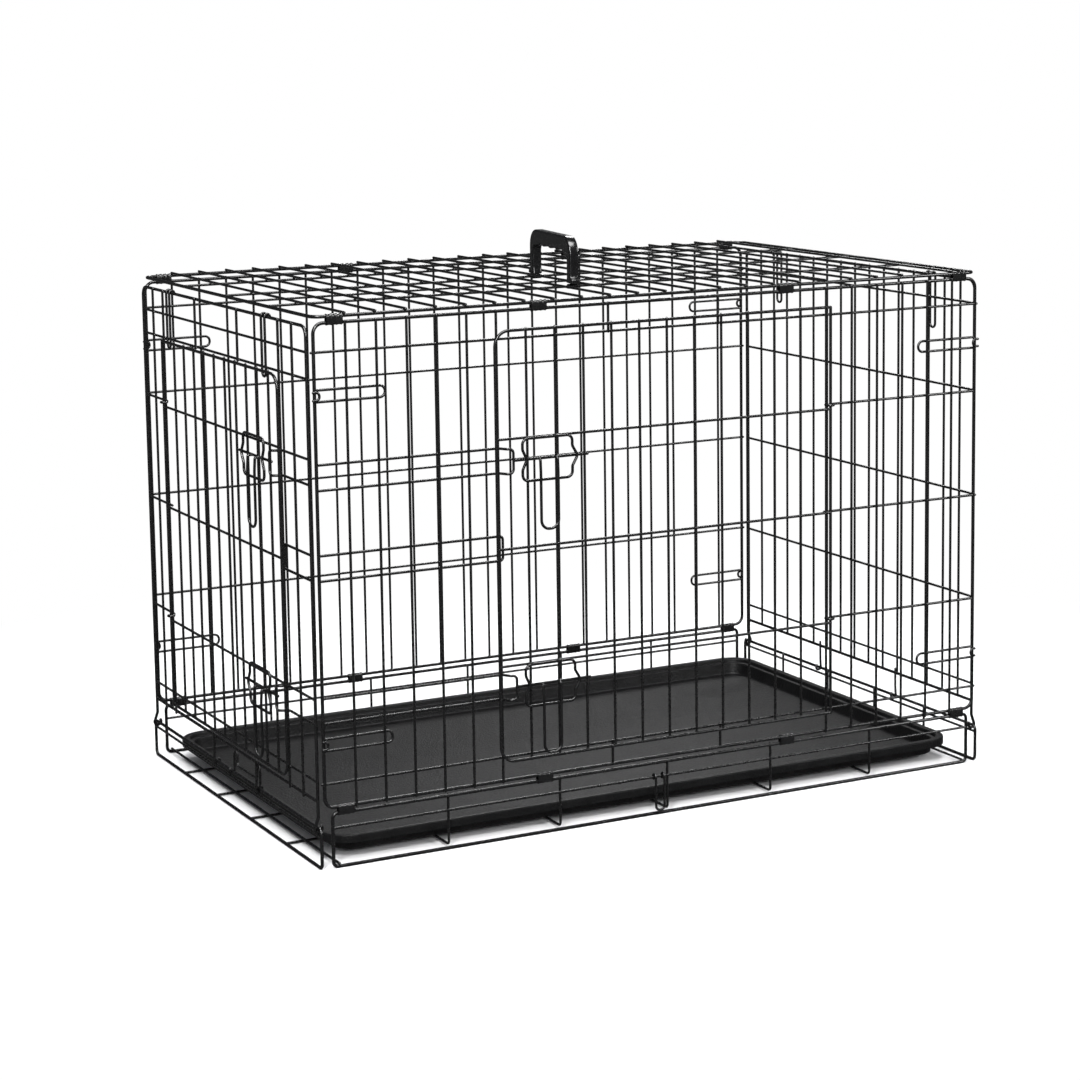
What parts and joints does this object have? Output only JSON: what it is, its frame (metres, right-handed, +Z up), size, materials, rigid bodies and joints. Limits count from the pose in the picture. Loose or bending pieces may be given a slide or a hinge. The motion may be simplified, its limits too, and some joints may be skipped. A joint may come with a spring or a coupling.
{
  "type": "wire dog crate",
  "caption": "Folding black wire dog crate with a front door and an end door, slide-bolt latches, a lift-out plastic tray and a top carry handle.",
  "frame": {"origin": "centre of the footprint of the outer box, on the floor", "axes": "+X along the crate away from the end door, -Y towards the front door, +Z up"},
  "size_m": [0.9454, 0.5942, 0.7042],
  "materials": {
    "wire": "semi-gloss black powder coat",
    "clip": "semi-gloss black coat on folded sheet",
    "tray_plastic": "fine-grained black moulded plastic",
    "handle_plastic": "satin black moulded plastic"
  },
  "bodies": {
    "base": {"base_grid": "wire", "clip_bottom_front_1": "clip", "clip_bottom_front_2": "clip", "clip_bottom_front_3": "clip", "clip_bottom_front_4": "clip", "clip_bottom_rear_1": "clip", "clip_bottom_rear_2": "clip", "clip_bottom_rear_3": "clip", "clip_bottom_rear_4": "clip"},
    "front_panel": {"front_panel": "wire"},
    "rear_panel": {"rear_panel": "wire"},
    "top_panel": {"top_panel": "wire", "clip_top_front_1": "clip", "clip_top_front_2": "clip", "clip_top_front_3": "clip", "clip_top_front_4": "clip", "clip_top_rear_1": "clip", "clip_top_rear_2": "clip", "clip_top_rear_3": "clip", "clip_top_rear_4": "clip", "handle_clip_1": "clip", "handle_clip_2": "clip", "carry_handle": "handle_plastic"},
    "left_end_panel": {"left_end_panel": "wire"},
    "right_end_panel": {"right_end_panel": "wire"},
    "front_door": {"front_door": "wire", "front_latch_upper_bracket": "wire", "front_latch_lower_bracket": "wire"},
    "end_door": {"end_door": "wire", "end_latch_upper_bracket": "wire", "end_latch_lower_bracket": "wire"},
    "tray": {"tray": "tray_plastic"},
    "tray_stop": {"tray_stop": "wire"},
    "front_hook": {"front_hook": "wire"},
    "front_upper_bolt": {"front_latch_upper_bolt": "wire"},
    "front_upper_handle": {"front_latch_upper_handle": "wire"},
    "front_lower_bolt": {"front_latch_lower_bolt": "wire"},
    "front_lower_handle": {"front_latch_lower_handle": "wire"},
    "end_upper_bolt": {"end_latch_upper_bolt": "wire"},
    "end_upper_handle": {"end_latch_upper_handle": "wire"},
    "end_lower_bolt": {"end_latch_lower_bolt": "wire"},
    "end_lower_handle": {"end_latch_lower_handle": "wire"}
  },
  "joints": [
    {"name": "frame_fold", "type": "hinge", "parent": "base", "child": "front_panel", "pos_m": [0.00515, -0.28058, 0.073], "axis": [1, 0, 0], "range_deg": [-86, 0]},
    {"name": "rear_fold", "type": "hinge", "parent": "base", "child": "rear_panel", "pos_m": [0.00515, 0.29242, 0.073], "axis": [1, 0, 0], "range_deg": [-86, 0]},
    {"name": "top_fold", "type": "hinge", "parent": "rear_panel", "child": "top_panel", "pos_m": [0.00515, 0.29242, 0.6355], "axis": [1, 0, 0], "range_deg": [0, 86]},
    {"name": "left_end_fold", "type": "hinge", "parent": "base", "child": "left_end_panel", "pos_m": [-0.45635, 0.00592, 0.048], "axis": [0, -1, 0], "range_deg": [-91.2, 0]},
    {"name": "right_end_fold", "type": "hinge", "parent": "base", "child": "right_end_panel", "pos_m": [0.46665, 0.00592, 0.048], "axis": [0, 1, 0], "range_deg": [-88.8, 0]},
    {"name": "front_door_swing", "type": "hinge", "parent": "front_panel", "child": "front_door", "pos_m": [0.23715, -0.28783, 0.35425], "axis": [0, 0, 1], "range_deg": [0, 165]},
    {"name": "end_door_swing", "type": "hinge", "parent": "left_end_panel", "child": "end_door", "pos_m": [-0.4635, 0.19592, 0.35425], "axis": [0, 0, -1], "range_deg": [0, 165]},
    {"name": "front_upper_bolt_slide", "type": "slide", "parent": "front_door", "child": "front_upper_bolt", "axis": [1, 0, 0], "range_m": [-0.012, 0.01]},
    {"name": "front_upper_handle_lift", "type": "hinge", "parent": "front_upper_bolt", "child": "front_upper_handle", "pos_m": [-0.20435, -0.28838, 0.459], "axis": [-1, 0, 0], "range_deg": [0, 100]},
    {"name": "front_lower_bolt_slide", "type": "slide", "parent": "front_door", "child": "front_lower_bolt", "axis": [1, 0, 0], "range_m": [-0.012, 0.01]},
    {"name": "front_lower_handle_lift", "type": "hinge", "parent": "front_lower_bolt", "child": "front_lower_handle", "pos_m": [-0.20435, -0.28838, 0.1875], "axis": [-1, 0, 0], "range_deg": [0, 100]},
    {"name": "end_upper_bolt_slide", "type": "slide", "parent": "end_door", "child": "end_upper_bolt", "axis": [0, 1, 0], "range_m": [-0.012, 0.01]},
    {"name": "end_upper_handle_lift", "type": "hinge", "parent": "end_upper_bolt", "child": "end_upper_handle", "pos_m": [-0.46405, -0.17658, 0.465], "axis": [0, 1, 0], "range_deg": [0, 100]},
    {"name": "end_lower_bolt_slide", "type": "slide", "parent": "end_door", "child": "end_lower_bolt", "axis": [0, 1, 0], "range_m": [-0.012, 0.01]},
    {"name": "end_lower_handle_lift", "type": "hinge", "parent": "end_lower_bolt", "child": "end_lower_handle", "pos_m": [-0.46405, -0.17658, 0.185], "axis": [0, 1, 0], "range_deg": [0, 100]},
    {"name": "tray_slide", "type": "slide", "parent": "base", "child": "tray", "axis": [-1, 0, 0], "range_m": [0, 0.8]},
    {"name": "tray_stop_swing", "type": "hinge", "parent": "base", "child": "tray_stop", "pos_m": [-0.45635, 0.00592, 0.048], "axis": [0, 1, 0], "range_deg": [-180, 0]},
    {"name": "front_hook_swing", "type": "hinge", "parent": "base", "child": "front_hook", "pos_m": [0.00515, -0.28083, 0.048], "axis": [-1, 0, 0], "range_deg": [0, 90]}
  ],
  "couplings": [
    {"joint": "rear_fold", "follows": "frame_fold", "ratio": 1},
    {"joint": "top_fold", "follows": "frame_fold", "ratio": -1}
  ]
}
